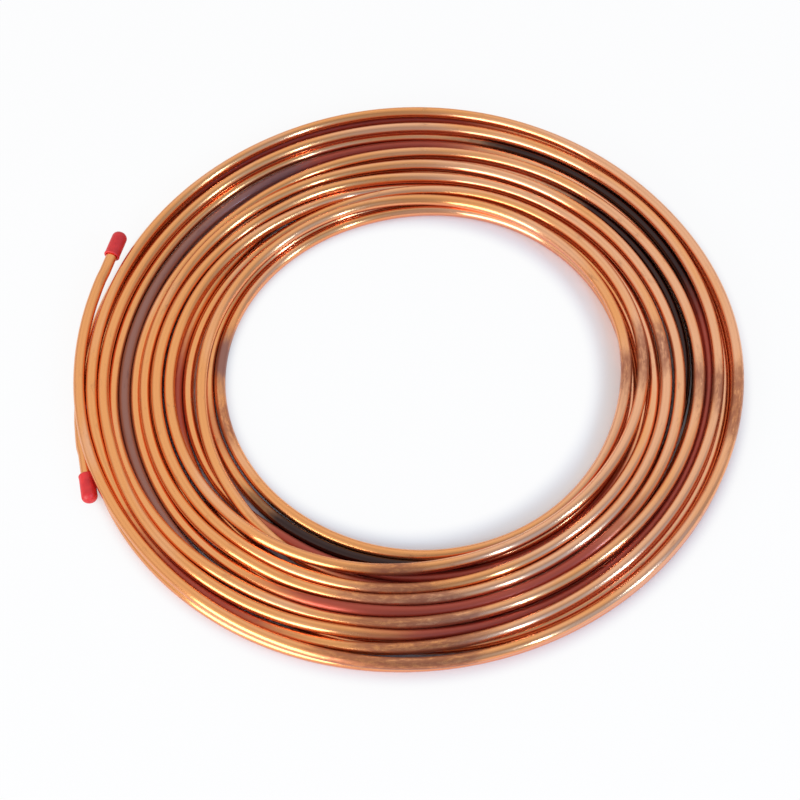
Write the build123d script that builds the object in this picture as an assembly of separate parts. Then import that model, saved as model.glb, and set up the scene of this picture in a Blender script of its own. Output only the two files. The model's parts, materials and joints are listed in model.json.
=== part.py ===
from build123d import *
import os
from math import acos, asin, atan2, cos, degrees, hypot, pi, radians, sin, sqrt

# Two-layer pancake coil of soft copper tube, with a push-on cap on each end.
# Millimetres and degrees. The coil lies flat on z = 0 and its axis is Z.
# Angles are measured about Z from +X, positive counter-clockwise seen from above.

# The tube
TUBE_OD = 6.35
TUBE_WALL = 0.762

# The winding: the lower layer has one turn more, and the upper one lies in its grooves
EYE_DIAMETER = 213.0
TURN_GAP = 2.05
LOWER_TURNS = 9

# The web that ties the rings of the turned solid together
WEB_THICKNESS = 1.7

# The two loose ends: where each leaves its outermost turn, how much wider than that turn
# it bends, through what angle, and the straight run at its tip
UPPER_LEAVE_ANGLE = 249.2
UPPER_BEND_EASE = 11.8
UPPER_SWEEP = 89.2
LOWER_LEAVE_ANGLE = 136.0
LOWER_BEND_EASE = 15.6
LOWER_SWEEP = 51.0
STRAIGHT_END = 30.0
# How far an end has left its turn where its own wall starts, as a share of the tube
LEAVE_STEP_SHARE = 0.3
# Where the upper end passes over the lower one, as a share of its sweep
CROSSING_SHARE = 0.78
CROSSING_CLEARANCE = 0.2

# The push-on end caps
CAP_WALL = 1.2
CAP_LENGTH = 16.5
CAP_END_WALL = 2.0
CAP_DOME_RADIUS = 3.4
CAP_MOUTH_BEAD = 0.2
CAP_MOUTH_LENGTH = 1.6

# Sizes that follow
TUBE_RADIUS = TUBE_OD / 2
BORE_RADIUS = TUBE_RADIUS - TUBE_WALL
TURN_PITCH = TUBE_OD + TURN_GAP
UPPER_TURNS = LOWER_TURNS - 1
LOWER_Z = TUBE_RADIUS
UPPER_Z = LOWER_Z + sqrt(TUBE_OD ** 2 - (TURN_PITCH / 2) ** 2)
LOWER_INNER = EYE_DIAMETER / 2 + TUBE_RADIUS
LOWER_RADII = [LOWER_INNER + TURN_PITCH * turn for turn in range(LOWER_TURNS)]
UPPER_RADII = [LOWER_INNER + TURN_PITCH * (turn + 1 / 2) for turn in range(UPPER_TURNS)]
CAP_RADIUS = TUBE_RADIUS + CAP_WALL
CAP_BEAD_RADIUS = CAP_RADIUS + CAP_MOUTH_BEAD
CAP_GRIP = CAP_LENGTH - CAP_END_WALL

# The lower end climbs until its cap clears the floor, and the upper one over the lower one
LOWER_RISE = CAP_BEAD_RADIUS - TUBE_RADIUS
UPPER_RISE = LOWER_Z + LOWER_RISE + TUBE_OD + CROSSING_CLEARANCE - UPPER_Z


def wound_turns():
    # One turned solid: every turn is a ring, and the eye of the coil is its bore
    inner, outer = LOWER_RADII[0], LOWER_RADII[-1]
    web = Rectangle(outer - inner, WEB_THICKNESS)
    profile = Pos((inner + outer) / 2, (LOWER_Z + UPPER_Z) / 2) * web
    for radii, height in ((LOWER_RADII, LOWER_Z), (UPPER_RADII, UPPER_Z)):
        for radius in radii:
            profile += Pos(radius, height) * Circle(TUBE_RADIUS)
    return revolve(Plane.XZ * profile, Axis.Z)


class LooseEnd:
    # An end of the tube: an arc tangent to its outermost turn, then a straight run.
    # The way is 1 for an end that runs counter-clockwise and -1 for the other.

    def __init__(self, turn_radius, height, leave_angle, bend_ease, sweep, way):
        self.turn_radius = turn_radius
        self.bend_ease = bend_ease
        self.bend_radius = turn_radius + bend_ease
        self.sweep = sweep
        angle = radians(leave_angle)
        self.outward = Vector(cos(angle), sin(angle), 0)
        self.along = Vector(-sin(angle), cos(angle), 0) * way
        self.centre = Vector(0, 0, height) - self.outward * bend_ease

    def climb(self, rise, turned, straight):
        # Tilts the end so that it has risen this far at that angle and length of straight run
        run = self.bend_radius * sin(radians(turned)) + straight * cos(radians(turned))
        tilt = asin(rise / run)
        self.along = self.along * cos(tilt) + Vector(0, 0, sin(tilt))

    def section_plane(self, turned, straight=0):
        # The plane across the tube at that angle of the bend, facing along the tube
        angle = radians(turned)
        outward = self.outward * cos(angle) + self.along * sin(angle)
        along = self.along * cos(angle) - self.outward * sin(angle)
        origin = self.centre + outward * self.bend_radius + along * straight
        return Plane(origin, x_dir=outward, z_dir=along)

    def tube(self):
        left = self.turn_radius + LEAVE_STEP_SHARE * TUBE_OD
        start = degrees(acos((self.bend_ease ** 2 + self.bend_radius ** 2 - left ** 2)
                             / (2 * self.bend_ease * self.bend_radius)))
        axis = Axis(self.centre, self.outward.cross(self.along))
        bend = revolve(self.section_plane(start) * Circle(TUBE_RADIUS), axis, self.sweep - start)
        open_section = Circle(TUBE_RADIUS) - Circle(BORE_RADIUS)
        return bend + extrude(self.section_plane(self.sweep) * open_section, STRAIGHT_END)

    def tip_plane(self):
        return self.section_plane(self.sweep, STRAIGHT_END)


def end_cap(loose_end):
    # A dipped cap: a thin sleeve with a beaded mouth and a domed end, pushed home on the tube
    mouth = -CAP_GRIP
    bead_end = mouth + CAP_MOUTH_LENGTH
    dome_start = CAP_END_WALL - CAP_DOME_RADIUS
    crown = CAP_RADIUS - CAP_DOME_RADIUS
    with BuildSketch(Plane.XZ) as half:
        with BuildLine():
            Polyline((0, 0), (TUBE_RADIUS, 0), (TUBE_RADIUS, mouth), (CAP_RADIUS, mouth))
            ThreePointArc((CAP_RADIUS, mouth), (CAP_BEAD_RADIUS, (mouth + bead_end) / 2),
                          (CAP_RADIUS, bead_end))
            Line((CAP_RADIUS, bead_end), (CAP_RADIUS, dome_start))
            RadiusArc((CAP_RADIUS, dome_start), (crown, CAP_END_WALL), -CAP_DOME_RADIUS)
            Polyline((crown, CAP_END_WALL), (0, CAP_END_WALL), (0, 0))
        make_face()
    return loose_end.tip_plane().location * revolve(half.sketch, Axis.Z)


upper_end = LooseEnd(UPPER_RADII[-1], UPPER_Z, UPPER_LEAVE_ANGLE, UPPER_BEND_EASE, UPPER_SWEEP, -1)
lower_end = LooseEnd(LOWER_RADII[-1], LOWER_Z, LOWER_LEAVE_ANGLE, LOWER_BEND_EASE, LOWER_SWEEP, 1)
lower_end.climb(LOWER_RISE, LOWER_SWEEP, STRAIGHT_END - CAP_GRIP)
upper_end.climb(UPPER_RISE, CROSSING_SHARE * UPPER_SWEEP, 0)

os.makedirs("parts", exist_ok=True)
export_step(wound_turns() + upper_end.tube() + lower_end.tube(), "parts/copper_tube.step")
export_step(end_cap(upper_end), "parts/end_cap_upper.step")
export_step(end_cap(lower_end), "parts/end_cap_lower.step")

print("tube in the turns, mm:", 2 * pi * (sum(LOWER_RADII) + sum(UPPER_RADII)))
for name, end in (("upper", upper_end), ("lower", lower_end)):
    tip = end.tip_plane().origin
    print(name, "tip: radius", hypot(tip.X, tip.Y), "angle", degrees(atan2(tip.Y, tip.X)), "height", tip.Z)
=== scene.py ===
# %% [markdown]
# # A flat coil of copper tube
# The object is one long piece of soft copper tube, wound flat in two layers, with a red vinyl cap pushed
# on each end. The packed model gives the sizes and the place of both ends. This lesson lays the real tube
# into that frame, turn by turn, and then gives the copper and the vinyl their finish.

# %% Load the frame
import json
from math import cos, pi, radians, sin
import bmesh
import bpy
import numpy as np
from mathutils import Matrix, Vector


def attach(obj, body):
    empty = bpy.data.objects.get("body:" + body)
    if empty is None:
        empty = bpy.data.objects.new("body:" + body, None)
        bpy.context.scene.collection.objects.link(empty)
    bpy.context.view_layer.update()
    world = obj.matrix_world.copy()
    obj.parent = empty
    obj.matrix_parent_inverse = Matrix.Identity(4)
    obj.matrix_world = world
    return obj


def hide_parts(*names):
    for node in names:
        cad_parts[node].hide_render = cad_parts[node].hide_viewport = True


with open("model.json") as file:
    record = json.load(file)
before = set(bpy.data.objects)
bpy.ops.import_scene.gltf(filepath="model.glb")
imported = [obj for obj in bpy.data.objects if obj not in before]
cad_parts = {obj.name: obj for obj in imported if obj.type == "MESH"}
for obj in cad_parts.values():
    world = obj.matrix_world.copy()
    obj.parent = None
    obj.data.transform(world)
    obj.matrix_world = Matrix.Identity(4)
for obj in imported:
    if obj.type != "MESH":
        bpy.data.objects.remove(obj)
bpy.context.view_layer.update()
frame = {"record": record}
MM = 0.001
mounts = {mount["name"]: mount for mount in frame["record"]["mounts"]}

# %% [markdown]
# ## The camera
# The photograph looks down on the coil from its near side, and the camera was held a little askew. A camera
# can be aimed with a constraint, but a matrix whose columns are right, up and back says the same in one go
# and also takes the roll. The lens is given by how many pixels one unit of slope covers in the picture.

# %% Aim the camera
PICTURE_WIDTH = 800
FOCAL_PIXELS = 1939.4
VIEW_DISTANCE = 1060.2 * MM
VIEW_ELEVATION = radians(58.44)
VIEW_ROLL = radians(-5.056)
VIEW_TARGET = Vector((-7.16 * MM, -17.03 * MM, 0))

back = Vector((0, -cos(VIEW_ELEVATION), sin(VIEW_ELEVATION)))
level_right = Vector((1, 0, 0))
level_up = back.cross(level_right)
right = level_right * cos(VIEW_ROLL) + level_up * sin(VIEW_ROLL)
up = level_up * cos(VIEW_ROLL) - level_right * sin(VIEW_ROLL)

camera = bpy.data.objects.new("camera", bpy.data.cameras.new("camera"))
camera.data.lens = camera.data.sensor_width * FOCAL_PIXELS / PICTURE_WIDTH
camera.matrix_world = Matrix((right, up, back)).transposed().to_4x4()
camera.location = VIEW_TARGET + back * VIEW_DISTANCE
bpy.context.scene.collection.objects.link(camera)
bpy.context.scene.camera = camera
print("the lens, in mm:", round(camera.data.lens, 1))

# %% [markdown]
# ## A wire for node trees
# Geometry and materials are both made of nodes. Wiring them by hand fills a script with links, so one small
# class holds an output socket. Its `node` method adds any node after it, and arithmetic on it adds the
# Math nodes, so a formula in a material reads like a formula.


# %% The wire
class Wire:
    """The output of a node. Sums written with it add the Math nodes that work them out."""

    def __init__(self, tree, socket=None):
        self.tree = tree
        self.socket = socket

    def node(self, kind, settings=None, sockets=None, output=0):
        made = self.tree.nodes.new(kind)
        for name, value in (settings or {}).items():
            setattr(made, name, value)
        for name, value in (sockets or {}).items():
            socket = next(s for s in made.inputs if name in (s.identifier, s.name) and s.enabled)
            if isinstance(value, Wire):
                self.tree.links.new(value.socket, socket)
            else:
                socket.default_value = value
        if isinstance(output, str):
            found = next(s for s in made.outputs if output in (s.identifier, s.name))
            return Wire(self.tree, found)
        return Wire(self.tree, made.outputs[output] if made.outputs else None)

    def math(self, operation, first, second=0):
        return self.node("ShaderNodeMath", {"operation": operation}, {"Value": first, "Value_001": second})

    def __add__(self, other):
        return self.math("ADD", self, other)

    __radd__ = __add__

    def __sub__(self, other):
        return self.math("SUBTRACT", self, other)

    def __rsub__(self, other):
        return self.math("SUBTRACT", other, self)

    def __mul__(self, other):
        return self.math("MULTIPLY", self, other)

    __rmul__ = __mul__

    def blend(self, first, second):
        """The first colour where this value is 0, the second where it is 1."""
        return self.node("ShaderNodeMix", {"data_type": "RGBA"},
                         {"Factor_Float": self, "A_Color": first, "B_Color": second}, "Result_Color")

    def between(self, low, high):
        """0 below the low value, 1 above the high one, with a smooth step from one to the other."""
        settings = {"interpolation_type": "SMOOTHSTEP"}
        return self.node("ShaderNodeMapRange", settings,
                         {"Value": self, "From Min": low, "From Max": high})


print("a wire has the methods:", [name for name in vars(Wire) if not name.startswith("_")])

# %% [markdown]
# ## How the tube runs
# The winding starts at the upper cap, runs inwards through the upper layer, drops to the floor at the eye
# and runs out again underneath to the lower cap. A plain spiral would be too neat: on the real coil the
# turns wander, sink between others and cross. So each turn has a line of its own here, with its distance
# from the axis, in millimetres, at twelve clock angles. The first eight are read from the photograph.
# The rest mostly hide under them, and are laid where they show in the gaps. The loose end of the last turn
# follows as pairs of a clock angle and a distance.

# %% The turns of the coil
TUBE_DIAMETER = 2 * mounts["tube_end_upper"]["dims"]["r_mm"]
FIRST_CLOCK = 150
CLOCK_STEP = 30
TURNS = [
    [186, 181.5, 176.5, 177, 178, 177, 177, 178.5, 174.5, 175.5, 177.5, 177],
    [176.5, 175, 172, 171.5, 168.5, 165.5, 166, 168.5, 168, 166, 165, 166.5],
    [168, 169.5, 169.5, 165, 160.5, 159.5, 160, 164, 164, 163, 163.5, 164.5],
    [163, 164, 163, 157.5, 154.5, 154.5, 157, 157.5, 153.5, 149, 146, 145],
    [149.5, 152, 152.5, 151.5, 148.5, 148.5, 149, 146, 142, 138.5, 137, 139.5],
    [143.5, 146.5, 147, 144.5, 142.5, 142, 141.5, 138.5, 134.5, 130.5, 128.5, 131],
    [136.5, 139.5, 140.5, 138.5, 136, 135, 134.5, 132, 130.5, 127.5, 123.5, 124],
    [129, 132.5, 133, 130, 123.5, 124, 125.5, 127.5, 125.5, 121.5, 119.5, 119.5],
    [120, 122.5, 125, 123, 128, 132, 131.5, 125, 123, 119.5, 114, 111],
    [111.5, 111.5, 113.5, 116.5, 121.5, 125.5, 125.5, 118.5, 116.5, 113.5, 107.5, 105],
    [105, 105, 106, 109.5, 115.5, 119, 119, 118.5, 116, 113.5, 112, 111],
    [111.5, 113.5, 120.5, 129.5, 134.5, 138.5, 138.5, 139.5, 138.5, 137.5, 137, 126],
    [126.5, 129, 131.5, 137.5, 142.5, 144, 146, 151.5, 150, 147, 144.5, 142],
    [139, 139.5, 142, 148, 153.5, 154.5, 155, 158, 157.5, 157, 156.5, 155.5],
    [156, 158, 158, 161, 168.5, 169.5, 170, 171, 170, 169.5, 170, 170.5],
    [172.5, 175, 178, 177.5, 176, 176, 176.5, 177.5, 175.5, 175.5, 177, 177],
]
LAST_TURN = len(TURNS)
LOOSE_END = [(510, 177), (530, 179.5), (546, 183.5), (560, 187.5)]


def wound(turn, clock):
    """The angle wound from the first turn's start to this clock angle of that turn, counted from 1."""
    return 360 * (turn - 1) + clock


route = []
for turn, readings in enumerate(TURNS, start=1):
    for step, reading in enumerate(readings):
        route.append((wound(turn, FIRST_CLOCK + CLOCK_STEP * step), reading))
route += [(wound(LAST_TURN, clock), reading) for clock, reading in LOOSE_END]
print("turns:", LAST_TURN, "with", len(route), "points")

# %% [markdown]
# ## Layers and dips
# A height is given the same way, in layers: 0 lies on the floor and 1 on top of the floor turns. Some upper
# turns sink to the floor where the ones below leave a gap, and the innermost one climbs over its neighbour.
# These are only starting heights, because a later step lets the whole winding settle.

# %% The starting layers
LAYERS = [
    (wound(1, 147), 1.3), (wound(1, 205), 1.3), (wound(1, 250), 1.1),
    (wound(2, 185), 1), (wound(2, 207), 0), (wound(2, 238), 0), (wound(2, 262), 1),
    (wound(3, 225), 1), (wound(3, 260), 0), (wound(3, 480), 0), (wound(3, 508), 1),
    (wound(7, 345), 1), (wound(7, 375), 0), (wound(7, 430), 0), (wound(7, 455), 1),
    (wound(8, 425), 1), (wound(8, 455), 0),
    (wound(11, 322), 0), (wound(11, 345), 1), (wound(12, 215), 1), (wound(12, 240), 0),
    (wound(LAST_TURN, 510), 0), (wound(LAST_TURN, 560), 0.2),
]
print("dips and climbs:", len(LAYERS))

# %% [markdown]
# ## The two straight ends
# The ends are set by the packed model: each is a straight run that stops inside its cap. Their points are
# turned into the same three numbers as the rest of the tube, the angle wound, the distance and the height.

# %% Place the ends
def straight_end(mount, turn, samples=40):
    """Angle wound, distance, height and way from the tip, at even steps along the straight run."""
    tip = np.array(mount["pos_m"]) / MM
    steps = np.linspace(0, mount["dims"]["length_mm"], samples)
    points = tip - steps[:, None] * np.array(mount["axis"])
    clock = np.degrees(np.arctan2(points[:, 1], points[:, 0])) % 360
    return wound(turn, clock), np.hypot(points[:, 0], points[:, 1]), points[:, 2], steps


upper_end = straight_end(mounts["tube_end_upper"], 1)
lower_end = straight_end(mounts["tube_end_lower"], LAST_TURN + 1)
print("the tube winds from", round(upper_end[0][0], 1), "to", round(lower_end[0][0], 1), "degrees")

# %% [markdown]
# ## Even stations along the tube
# The turns are read only every thirty degrees. They are filled in at even stations and smoothed with a
# sliding window, because a bent tube has no corners. The heights start from the layers. At both ends the
# straight runs take over and are held in place, and inside a cap the tube counts as thick as the cap, so
# that no turn can settle into it.

# %% The stations
STATIONS_PER_TURN = 216
STATION_STEP = 360 / STATIONS_PER_TURN
WINDOW_STATIONS = 17

first_station = np.ceil(upper_end[0][0] / STATION_STEP)
last_station = np.floor(lower_end[0][0] / STATION_STEP)
stations = np.arange(first_station, last_station + 1) * STATION_STEP
window = np.hanning(WINDOW_STATIONS)
window /= window.sum()
read = np.interp(stations, *zip(*route))
read = np.convolve(np.pad(read, len(window) // 2, mode="reflect", reflect_type="odd"), window, "valid")
print("stations:", len(stations))

# %% Where each station starts
LAYER_SHARE = 0.95
CAP_GRIP = 14.5
CAP_RADIUS = 4.375

distance = read.copy()
height = TUBE_DIAMETER * (0.5 + LAYER_SHARE * np.interp(stations, *zip(*LAYERS)))
half_width = np.full(len(stations), TUBE_DIAMETER / 2)
free = np.ones(len(stations))
for end_angle, end_distance, end_height, end_steps in (upper_end, lower_end):
    order = np.argsort(end_angle)
    here = (stations >= end_angle.min()) & (stations <= end_angle.max())
    distance[here] = np.interp(stations[here], end_angle[order], end_distance[order])
    height[here] = np.interp(stations[here], end_angle[order], end_height[order])
    in_cap = np.interp(stations[here], end_angle[order], end_steps[order]) < CAP_GRIP
    half_width[here] = np.where(in_cap, CAP_RADIUS, TUBE_DIAMETER / 2)
    free[here] = 0
print("stations held at the ends:", int((free == 0).sum()))

# %% [markdown]
# ## Letting the winding settle
# Sixteen turns that must touch but never cut into each other can't be placed by hand. A rigid-body
# simulation of one long tube would be slow and would drift away from the photograph. Instead a small
# relaxation does it: at every station round the coil, tubes that overlap push each other apart, weight pulls
# them down to the floor, and a weak pull keeps each turn near the distance that was read. Since a turn is a
# fixed number of stations, the neighbours of a point are that many places further along the same list.

# %% Straighten and push
LEAST_GAP = 1e-6


def between_neighbours(values, span):
    """Each value's middle between those one span before and after it, and the ends as they are."""
    middle = values.copy()
    middle[span:-span] = (values[2 * span:] + values[:-2 * span]) / 2
    return middle


def overlaps(shift):
    """How far each station is inside the one that many places further on, and the way between them."""
    across = distance[shift:] - distance[:-shift]
    rise = height[shift:] - height[:-shift]
    apart = np.maximum(np.hypot(across, rise), LEAST_GAP)
    inside = np.maximum(half_width[shift:] + half_width[:-shift] - apart, 0)
    return inside, across / apart, rise / apart


shifts = range(STATIONS_PER_TURN, len(stations), STATIONS_PER_TURN)
print("deepest overlap at the start, in mm:", round(max(overlaps(shift)[0].max() for shift in shifts), 2))

# %% Settle the tube
ROUNDS = 1500
CALM_ROUND = 1300
WEIGHT = 0.02
SHOWN_UNTIL = wound(8, 425)
PULL_SHOWN, PULL_HIDDEN = 0.06, 0.04
STRAIGHTEN_SPANS = (1, 3)
STRAIGHTEN_SIDEWAYS, STRAIGHTEN_HEIGHT = 0.25, 0.35
PUSH_SHARE = 0.4

pull = np.where(stations < SHOWN_UNTIL, PULL_SHOWN, PULL_HIDDEN)
for settling in range(ROUNDS):
    ease = max(0, 1 - settling / CALM_ROUND) * free
    height -= WEIGHT * ease
    distance += pull * ease * (read - distance)
    for span in STRAIGHTEN_SPANS:
        distance += STRAIGHTEN_SIDEWAYS * ease * (between_neighbours(distance, span) - distance)
        height += STRAIGHTEN_HEIGHT * ease * (between_neighbours(height, span) - height)
    move_across = np.zeros(len(stations))
    move_up = np.zeros(len(stations))
    for shift in shifts:
        inside, across, rise = overlaps(shift)
        push = PUSH_SHARE * inside
        move_across[:-shift] -= push * across
        move_across[shift:] += push * across
        move_up[:-shift] -= push * rise
        move_up[shift:] += push * rise
    distance += move_across * free
    height = np.maximum(height + move_up * free, half_width)
print("deepest overlap left, in mm:", round(max(overlaps(shift)[0].max() for shift in shifts), 3))
print("top of the winding, in mm:", round((height + half_width).max(), 2))

# %% [markdown]
# ## From a line to a tube
# The settled line becomes a chain of edges, and Geometry Nodes make the tube: a curve along the chain and a
# circle swept along it. The curve keeps its normals upright, so that the circle never twists. Two attributes
# are stored on the way: how far along the tube a point lies, and where it lies round the tube. The finish
# needs both, because drawn copper has its lines along the tube and not along the axes of the room.

# %% The line of the tube
angles = np.radians(stations)
points = np.stack([distance * np.cos(angles), distance * np.sin(angles), height], 1) * MM
points = np.vstack([mounts["tube_end_upper"]["pos_m"], points, mounts["tube_end_lower"]["pos_m"]])
lengths = np.cumsum(np.linalg.norm(np.diff(points, axis=0), axis=1))
chain = bpy.data.meshes.new("tube_line")
chain.from_pydata(points.tolist(), [(i, i + 1) for i in range(len(points) - 1)], [])
tube = bpy.data.objects.new("wound_copper_tube", chain)
bpy.context.scene.collection.objects.link(tube)
print("length of the tube, in m:", round(lengths[-1], 2))


# %% The tree that sweeps the tube
def tube_tree(material):
    tree = bpy.data.node_groups.new("sweep_tube", "GeometryNodeTree")
    for name, kind in (("Line", "Geometry"), ("Radius", "Float"), ("Sides", "Int")):
        tree.interface.new_socket(name, in_out="INPUT", socket_type=f"NodeSocket{kind}")
    tree.interface.new_socket("Tube", in_out="OUTPUT", socket_type="NodeSocketGeometry")
    start = Wire(tree)
    line, radius, sides = (start.node("NodeGroupInput", output=name) for name in ("Line", "Radius", "Sides"))
    curve = start.node("GeometryNodeMeshToCurve", {}, {"Mesh": line})
    curve = start.node("GeometryNodeSetCurveNormal", {"mode": "Z_UP"}, {"Curve": curve})
    reach = start.node("GeometryNodeSplineParameter", output="Length")
    curve = start.node("GeometryNodeStoreNamedAttribute", {"data_type": "FLOAT", "domain": "POINT"},
                       {"Geometry": curve, "Name": "along", "Value": reach})
    circle = start.node("GeometryNodeCurvePrimitiveCircle", {"mode": "RADIUS"},
                        {"Resolution": sides, "Radius": radius})
    place = start.node("GeometryNodeInputPosition")
    circle = start.node("GeometryNodeStoreNamedAttribute", {"data_type": "FLOAT_VECTOR", "domain": "POINT"},
                        {"Geometry": circle, "Name": "around", "Value": place})
    mesh = start.node("GeometryNodeCurveToMesh", {},
                      {"Curve": curve, "Profile Curve": circle, "Fill Caps": True})
    mesh = start.node("GeometryNodeSetShadeSmooth", {}, {"Geometry": mesh})
    mesh = start.node("GeometryNodeRealizeInstances", {}, {"Geometry": mesh})
    mesh = start.node("GeometryNodeSetMaterial", {}, {"Geometry": mesh, "Material": material})
    start.node("NodeGroupOutput", {}, {"Tube": mesh})
    return tree


def made_plain(piece):
    """Turns the result of a piece's modifiers into its own mesh."""
    bpy.context.view_layer.update()
    evaluated = piece.evaluated_get(bpy.context.evaluated_depsgraph_get())
    mesh = bpy.data.meshes.new_from_object(evaluated)
    piece.modifiers.clear()
    piece.data = mesh
    mesh.name = piece.name
    return piece


# %% [markdown]
# ## The copper
# New copper tube is bright, with fine lines drawn along it by the die. Handling and air leave brown
# blotches and stains on it, and the right side is pinker. Shade is painted on as well: the lower side of
# every turn is painted red, as the grooves between turns look in the light that bounces in them, and low
# turns that lie in the gaps are painted dark red or near black, as they look in shade. Two turns get a matt
# purple-brown that is partly stain and partly painted shade. The finish is a metal whose colour and
# roughness are mixed from noise on the two stored attributes, so that every blotch and line follows the
# tube. The painted shade and the stains go by the length along the tube, and a little noise is added to
# that length to make their ends ragged.
#
# The drawn lines are too fine to model, but they spread each highlight across the tube. The shader does
# this with its Anisotropic value. The direction that it uses by default runs round the coil, and a quarter
# of a turn lays it across the tube.

# %% Stretches of the tube
def stretch(turn, first_clock, last_clock):
    """Where two clock angles of a turn lie along the tube, in metres from the upper end."""
    ends = [wound(turn, first_clock), wound(turn, last_clock)]
    return [float(length) for length in np.interp(ends, stations, lengths[:-1])]


# Painted shade: the turns on these stretches lie low in dark gaps and are painted near black.
BLACK_SHADE_PAINTED = [stretch(3, 360, 442), stretch(10, 206, 288), stretch(13, 328, 420)]
# Partly stain and partly painted shade: these two stretches are painted a matt purple-brown.
STAIN_AND_SHADE_DULLED = [stretch(15, 105, 240), stretch(11, 156, 186)]
# Painted shade: the low turns on these stretches are painted dark red, as they look in shade.
RED_SHADE_PAINTED = [
    stretch(2, 203, 252), stretch(3, 250, 390), stretch(5, 226, 326), stretch(9, 206, 340),
    stretch(10, 176, 212), stretch(12, 234, 300), stretch(13, 152, 214), stretch(13, 300, 334),
    stretch(14, 420, 496), stretch(16, 418, 506),
]
STAINED = [
    stretch(1, 246, 280), stretch(1, 334, 356), stretch(2, 252, 282), stretch(2, 340, 356),
    stretch(4, 250, 282), stretch(4, 342, 358), stretch(6, 246, 280), stretch(6, 348, 368),
    stretch(7, 250, 276), stretch(8, 252, 272), stretch(8, 344, 368), stretch(11, 180, 206),
    stretch(11, 340, 362),
]
# The stretches printed here are the ones painted near black as shade.
print("stretches under a dark film, in m:", [[round(end, 2) for end in pair] for pair in BLACK_SHADE_PAINTED])

# %% Copper
COPPER_BRIGHT = (0.88, 0.385, 0.135, 1)
COPPER_PINK = (0.88, 0.46, 0.26, 1)
# Painted shade: the red of the lower side of each turn.
COPPER_FLANK_SHADE_PAINT = (0.86, 0.28, 0.14, 1)
# Painted shade: the dark red of the low turns.
COPPER_RED_SHADE_PAINT = (0.42, 0.065, 0.045, 1)
COPPER_BROWN = (0.30, 0.13, 0.07, 1)
# Partly stain and partly painted shade: the matt purple-brown.
COPPER_STAIN_AND_SHADE = (0.28, 0.13, 0.12, 1)
COPPER_STAIN = (0.34, 0.10, 0.06, 1)
# Painted shade: the near black of turns low in the gaps.
COPPER_BLACK_SHADE_PAINT = (0.022, 0.011, 0.014, 1)
RAGGED = 0.03
BLACK_SHADE_FADE, STAIN_AND_SHADE_FADE, RED_SHADE_FADE, STAIN_FADE = 0.05, 0.02, 0.06, 0.02
POLISHED = 0.17
QUARTER_TURN = 0.25


def copper():
    material = bpy.data.materials.new("drawn_copper")
    material.use_nodes = True
    material.node_tree.nodes.clear()
    start = Wire(material.node_tree)
    along = start.node("ShaderNodeAttribute", {"attribute_name": "along"}, output="Fac")
    around = start.node("ShaderNodeAttribute", {"attribute_name": "around"}, output="Vector")
    sideways = start.node("ShaderNodeSeparateXYZ", {}, {"Vector": around}, "X")
    upright = -1 * start.node("ShaderNodeSeparateXYZ", {}, {"Vector": around}, "Y")

    def noise(drawn_out, scale, detail, rough=0.55):
        """Noise on the skin of the tube, drawn out along it."""
        skin = start.node("ShaderNodeCombineXYZ", {},
                          {"X": along * (1 / drawn_out), "Y": sideways, "Z": upright})
        sockets = {"Vector": skin, "Scale": scale, "Detail": detail, "Roughness": rough}
        return start.node("ShaderNodeTexNoise", {}, sockets, "Fac")

    ragged = along + RAGGED * (noise(4, 300, 3) - 0.5)

    def on_any(stretches, fade):
        """1 on each of these stretches and 0 elsewhere, with a fade at both ends."""
        return sum(ragged.between(begin, begin + fade) * (1 - ragged.between(end - fade, end))
                   for begin, end in stretches)

    draw_lines = noise(40, 700, 2)
    blotches = noise(3, 260, 5, 0.65).between(0.58, 0.74)
    # Painted shade: the lower side of every turn is painted red, for the light that bounces in the grooves
    # between turns.
    flank_shade_paint = 1 - (upright + 0.001 * draw_lines).between(-0.0006, 0.0033)
    # Painted shade: near black on the turns low in the gaps.
    black_shade_paint = on_any(BLACK_SHADE_PAINTED, BLACK_SHADE_FADE)
    # Partly stain and partly painted shade: matt purple-brown on two turns.
    dull_stain_and_shade = on_any(STAIN_AND_SHADE_DULLED, STAIN_AND_SHADE_FADE)
    # Painted shade: dark red on the low turns in the gaps.
    red_shade_paint = on_any(RED_SHADE_PAINTED, RED_SHADE_FADE)
    stain = on_any(STAINED, STAIN_FADE) * noise(3, 520, 5, 0.75).between(0.26, 0.56)
    place = start.node("ShaderNodeTexCoord", output="Object")
    to_the_right = start.node("ShaderNodeSeparateXYZ", {}, {"Vector": place}, "X")
    pinkness = (noise(8, 90, 2) + to_the_right).between(0.40, 0.68)
    colour = pinkness.blend(COPPER_BRIGHT, COPPER_PINK)
    colour = flank_shade_paint.blend(colour, COPPER_FLANK_SHADE_PAINT)
    for skin, strength, skin_colour in (
            (blotches, 0.4, COPPER_BROWN), (stain, 0.75, COPPER_STAIN), (red_shade_paint, 0.95, COPPER_RED_SHADE_PAINT),
            (dull_stain_and_shade, 0.9, COPPER_STAIN_AND_SHADE), (black_shade_paint, 0.98, COPPER_BLACK_SHADE_PAINT)):
        colour = (skin * strength).blend(colour, skin_colour)
    roughness = POLISHED + 0.05 * draw_lines + 0.15 * blotches + 0.2 * (stain + red_shade_paint + dull_stain_and_shade)
    shader = start.node("ShaderNodeBsdfPrincipled", {}, {
        "Base Color": colour, "Metallic": 1.0, "Roughness": roughness,
        "Anisotropic": 0.8, "Anisotropic Rotation": QUARTER_TURN,
        "Coat Weight": 0.4, "Coat Roughness": 0.15})
    start.node("ShaderNodeOutputMaterial", {}, {"Surface": shader})
    return material


drawn_copper = copper()
print("nodes in the copper:", len(drawn_copper.node_tree.nodes))

# %% [markdown]
# ## Sweeping the tube
# Now the line, the tree and the finish come together. A modifier keeps its inputs under identifiers, so each
# name is looked up in the tree first. The result is made a plain mesh, which looks the same wherever the
# model goes next.

# %% Sweep the tube
TUBE_SIDES = 24

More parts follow.
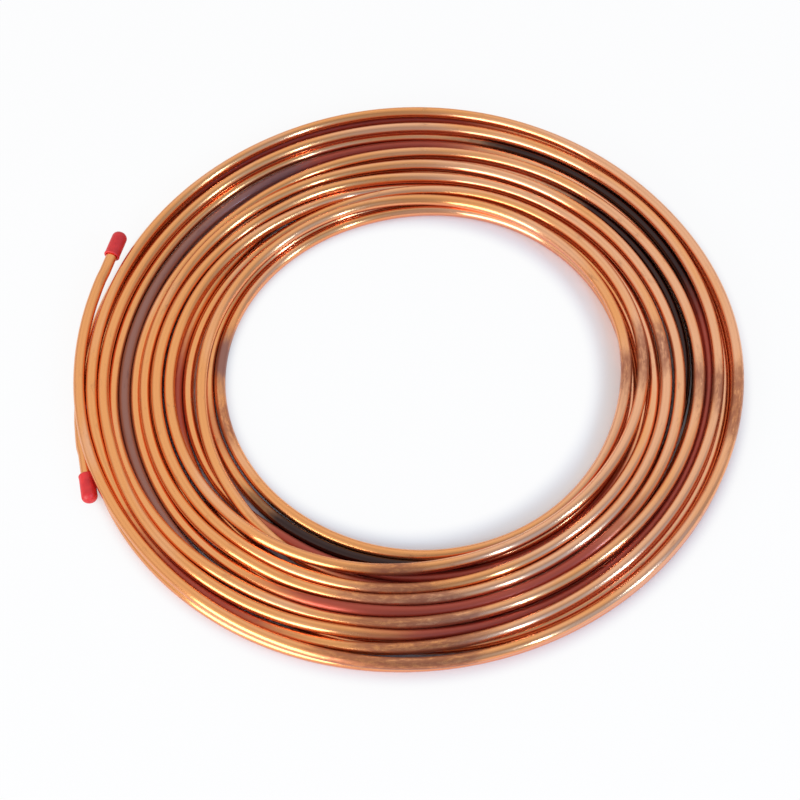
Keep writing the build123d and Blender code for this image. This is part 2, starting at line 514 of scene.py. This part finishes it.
tree = tube_tree(drawn_copper)
sweep = tube.modifiers.new("sweep", "NODES")
sweep.node_group = tree
sizes = {"Radius": TUBE_DIAMETER / 2 * MM, "Sides": TUBE_SIDES}
for item in tree.interface.items_tree:
    if item.name in sizes:
        sweep[item.identifier] = sizes[item.name]
made_plain(tube)
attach(tube, "root")
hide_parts("copper_tube")
print("faces of the tube:", len(tube.data.polygons))

# %% [markdown]
# ## The caps
# Each end is closed by a cap of red vinyl, dipped on a mould: a thin sleeve with a rolled mouth and a domed
# end. It is round, so its half section is drawn once and spun about the tube. The section runs up the
# inside, over the mouth, along the outside and over the dome, so that the wall has a real thickness.

# %% The section of a cap
CAP_END_WALL = 2.0
CAP_DOME = 3.4
CAP_MOUTH_BEAD = 0.2
CAP_MOUTH_LENGTH = 1.6
CAP_ARC_POINTS = 9
CAP_SLEEVE_SHARES = (0.7, 0.5, 0.3, 0.15)


def cap_section():
    """Pairs of radius and height, from the middle of the inner end to the middle of the dome."""
    bore = TUBE_DIAMETER / 2
    section = [(0, 0), (bore, 0)]
    lip = (CAP_RADIUS + CAP_MOUTH_BEAD - bore) / 2
    for turn in np.linspace(pi, 2 * pi, CAP_ARC_POINTS):
        section.append((bore + lip + lip * cos(turn), -CAP_GRIP + lip + lip * sin(turn)))
    section.append((CAP_RADIUS, -CAP_GRIP + CAP_MOUTH_LENGTH))
    section += [(CAP_RADIUS, -CAP_GRIP * share) for share in CAP_SLEEVE_SHARES]
    crown = CAP_RADIUS - CAP_DOME
    for turn in np.linspace(0, pi / 2, CAP_ARC_POINTS):
        section.append((crown + CAP_DOME * cos(turn), CAP_END_WALL - CAP_DOME + CAP_DOME * sin(turn)))
    section.append((0, CAP_END_WALL))
    return section


print("points in the section:", len(cap_section()))

# %% [markdown]
# ## The vinyl
# Dipped vinyl is a soft, slightly cloudy plastic with a satin skin. A faint orange-peel bump and a slow
# change of colour keep it from looking painted.

# %% Red vinyl
VINYL_DEEP = (0.56, 0.010, 0.016, 1)
VINYL_PALE = (0.70, 0.022, 0.024, 1)


def red_vinyl():
    material = bpy.data.materials.new("red_vinyl")
    material.use_nodes = True
    material.node_tree.nodes.clear()
    start = Wire(material.node_tree)
    place = start.node("ShaderNodeTexCoord", output="Object")
    cloud = start.node("ShaderNodeTexNoise", {}, {"Vector": place, "Scale": 220.0, "Detail": 3.0}, "Fac")
    peel = start.node("ShaderNodeTexNoise", {}, {"Vector": place, "Scale": 1800.0, "Detail": 2.0}, "Fac")
    colour = cloud.between(0.3, 0.7).blend(VINYL_DEEP, VINYL_PALE)
    bump = start.node("ShaderNodeBump", {}, {"Strength": 0.15, "Distance": 0.0002, "Height": peel})
    shader = start.node("ShaderNodeBsdfPrincipled", {}, {
        "Base Color": colour, "Roughness": 0.38 + 0.1 * cloud, "Normal": bump})
    start.node("ShaderNodeOutputMaterial", {}, {"Surface": shader})
    return material


vinyl = red_vinyl()
print("nodes in the vinyl:", len(vinyl.node_tree.nodes))

# %% [markdown]
# ## Spinning the caps
# Spin copies the section round the axis in equal steps and joins the copies with faces. The points on the
# axis then lie on top of each other, so doubles are merged and the normals are worked out anew. Last, the
# cap is turned and moved onto its end of the tube, in the mesh itself.

# %% Spin the caps
CAP_SEGMENTS = 48
MERGE_DISTANCE = 1e-7


def spun_cap(name, mount, material):
    axis = Vector(mount["axis"]).normalized()
    turn = axis.to_track_quat("Z", "Y").to_matrix().to_4x4()
    shape = bmesh.new()
    profile = [shape.verts.new((radius * MM, 0, height * MM)) for radius, height in cap_section()]
    edges = [shape.edges.new(pair) for pair in zip(profile, profile[1:])]
    bmesh.ops.spin(shape, geom=profile + edges, cent=(0, 0, 0), axis=(0, 0, 1), angle=2 * pi,
                   steps=CAP_SEGMENTS, use_merge=True)
    bmesh.ops.remove_doubles(shape, verts=shape.verts, dist=MERGE_DISTANCE)
    bmesh.ops.recalc_face_normals(shape, faces=shape.faces)
    bmesh.ops.transform(shape, matrix=Matrix.Translation(mount["pos_m"]) @ turn, verts=shape.verts)
    mesh = bpy.data.meshes.new(name)
    shape.to_mesh(mesh)
    shape.free()
    mesh.shade_smooth()
    mesh.materials.append(material)
    cap = bpy.data.objects.new(name, mesh)
    bpy.context.scene.collection.objects.link(cap)
    return cap


for side in ("upper", "lower"):
    cap = spun_cap(f"vinyl_cap_{side}", mounts[f"tube_end_{side}"], vinyl)
    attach(cap, "root")
    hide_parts(f"end_cap_{side}")
    print(cap.name, "faces:", len(cap.data.polygons))

# %% [markdown]
# ## The floor
# The coil lies on a plain white floor. A floor that is only lit is never quite white, and one that only
# glows shows no shadow, so this one is mixed from both. Under the coil it is plain. Elsewhere it mostly
# glows white, to the camera and to whatever mirrors it, and enough of the lit floor is left for the shadow.

# %% The floor
FLOOR_HALF = 4.0
COIL_INNER, COIL_OUTER, FLOOR_FADE = 0.108, 0.176, 0.012
FLOOR_COLOUR = (0.85, 0.85, 0.85, 1)
GLOW_SHARE = 0.9
WHITE = (1, 1, 1, 1)


def white_floor():
    material = bpy.data.materials.new("white_floor")
    material.use_nodes = True
    material.node_tree.nodes.clear()
    start = Wire(material.node_tree)
    lit = start.node("ShaderNodeBsdfDiffuse", {}, {"Color": FLOOR_COLOUR})
    white = start.node("ShaderNodeEmission", {}, {"Color": WHITE, "Strength": 1.0})
    seen = sum(start.node("ShaderNodeLightPath", output=f"Is {kind} Ray")
               for kind in ("Camera", "Glossy", "Transmission"))
    place = start.node("ShaderNodeTexCoord", output="Object")
    away = start.node("ShaderNodeVectorMath", {"operation": "LENGTH"}, {"Vector": place}, output="Value")
    beyond = away.between(COIL_OUTER, COIL_OUTER + FLOOR_FADE)
    inside = 1 - away.between(COIL_INNER - FLOOR_FADE, COIL_INNER)
    shader = start.node("ShaderNodeMixShader", {}, {
        "Fac": seen * (beyond + inside) * GLOW_SHARE, "Shader": lit, "Shader_001": white})
    start.node("ShaderNodeOutputMaterial", {}, {"Surface": shader})
    return material


floor_mesh = bpy.data.meshes.new("floor")
corners = [(-FLOOR_HALF, -FLOOR_HALF, 0), (FLOOR_HALF, -FLOOR_HALF, 0),
           (FLOOR_HALF, FLOOR_HALF, 0), (-FLOOR_HALF, FLOOR_HALF, 0)]
floor_mesh.from_pydata(corners, [], [(0, 1, 2, 3)])
floor_mesh.materials.append(white_floor())
floor = bpy.data.objects.new("floor", floor_mesh)
bpy.context.scene.collection.objects.link(floor)
print("floor, in m:", 2 * FLOOR_HALF)

# %% [markdown]
# ## The surroundings
# Copper shows its surroundings more than its own colour, so these are part of the likeness: a pale sky that
# is warmer and dimmer towards the horizon, and a dim side on the right in front with cool daylight in its
# middle. An image of a room could do this too, but a few directions blended in the world's nodes are easier
# to tune. The camera itself sees plain white, so that no horizon shows behind the floor.

# %% The world
SKY = (0.92, 0.91, 0.90, 1)
HORIZON = (0.60, 0.49, 0.46, 1)
DIM_SIDE = (0.48, 0.49, 0.57, 1)
DIM_WAY = (0.53, -0.68, 0.50)
COOL_LIGHT = (0.48, 0.66, 1.0, 1)
COOL_WAY = (0.58, -0.58, 0.57)
UPWARDS = (0, 0, 1)


def studio_world():
    world = bpy.data.worlds.new("studio")
    world.use_nodes = True
    world.node_tree.nodes.clear()
    start = Wire(world.node_tree)
    way = start.node("ShaderNodeTexCoord", output="Generated")

    def towards(direction):
        """1 where the view is along this direction, and less the further it turns away."""
        return start.node("ShaderNodeVectorMath", {"operation": "DOT_PRODUCT"},
                          {"Vector": way, "Vector_001": direction}, "Value")

    rise = towards(UPWARDS)
    colour = rise.between(0.0, 0.6).blend(HORIZON, SKY)
    colour = towards(DIM_WAY).between(0.45, 0.72).blend(colour, DIM_SIDE)
    colour = towards(COOL_WAY).between(0.80, 0.97).blend(colour, COOL_LIGHT)
    room = start.node("ShaderNodeBackground", {},
                      {"Color": colour, "Strength": 1 - 0.25 * rise.between(0.8, 1)})
    white = start.node("ShaderNodeBackground", {}, {"Color": WHITE, "Strength": 1.0})
    seen = start.node("ShaderNodeLightPath", output="Is Camera Ray")
    shade = start.node("ShaderNodeMixShader", {}, {"Fac": seen, "Shader": room, "Shader_001": white})
    start.node("ShaderNodeOutputWorld", {}, {"Surface": shade})
    return world


bpy.context.scene.world = studio_world()
bpy.context.scene.view_settings.view_transform = "Standard"
print("nodes in the world:", len(bpy.context.scene.world.node_tree.nodes))

# %% [markdown]
# ## The lamps
# A low, wide window on the left draws the long highlights on the near and the far side of the coil. Two
# narrow, tall lamps in front on the right make the short white dots. All three are area lamps, because a
# metal shows the shape of the lamp that it mirrors.

# %% The lamps
LAMP_DISTANCE = 2.0
WINDOW_LIGHT = (1, 0.98, 0.95)
LAMP_LIGHT = (0.50, 0.72, 1)


def softbox(name, way, width, height, power, colour):
    """A flat lamp that faces the coil from that direction."""
    lamp = bpy.data.lights.new(name, "AREA")
    lamp.shape = "RECTANGLE"
    lamp.size = width
    lamp.size_y = height
    lamp.energy = power
    lamp.color = colour
    made = bpy.data.objects.new(name, lamp)
    way = Vector(way).normalized()
    made.location = way * LAMP_DISTANCE
    made.rotation_euler = way.to_track_quat("Z", "Y").to_euler()
    bpy.context.scene.collection.objects.link(made)
    return made


softbox("window", (-0.69, -0.72, 0.24), 1.4, 1.4, 31, WINDOW_LIGHT)
softbox("lamp_near", (0.41, -0.76, 0.50), 0.08, 0.70, 7, LAMP_LIGHT)
softbox("lamp_far", (0.74, -0.45, 0.50), 0.08, 0.70, 7, LAMP_LIGHT)

# %% [markdown]
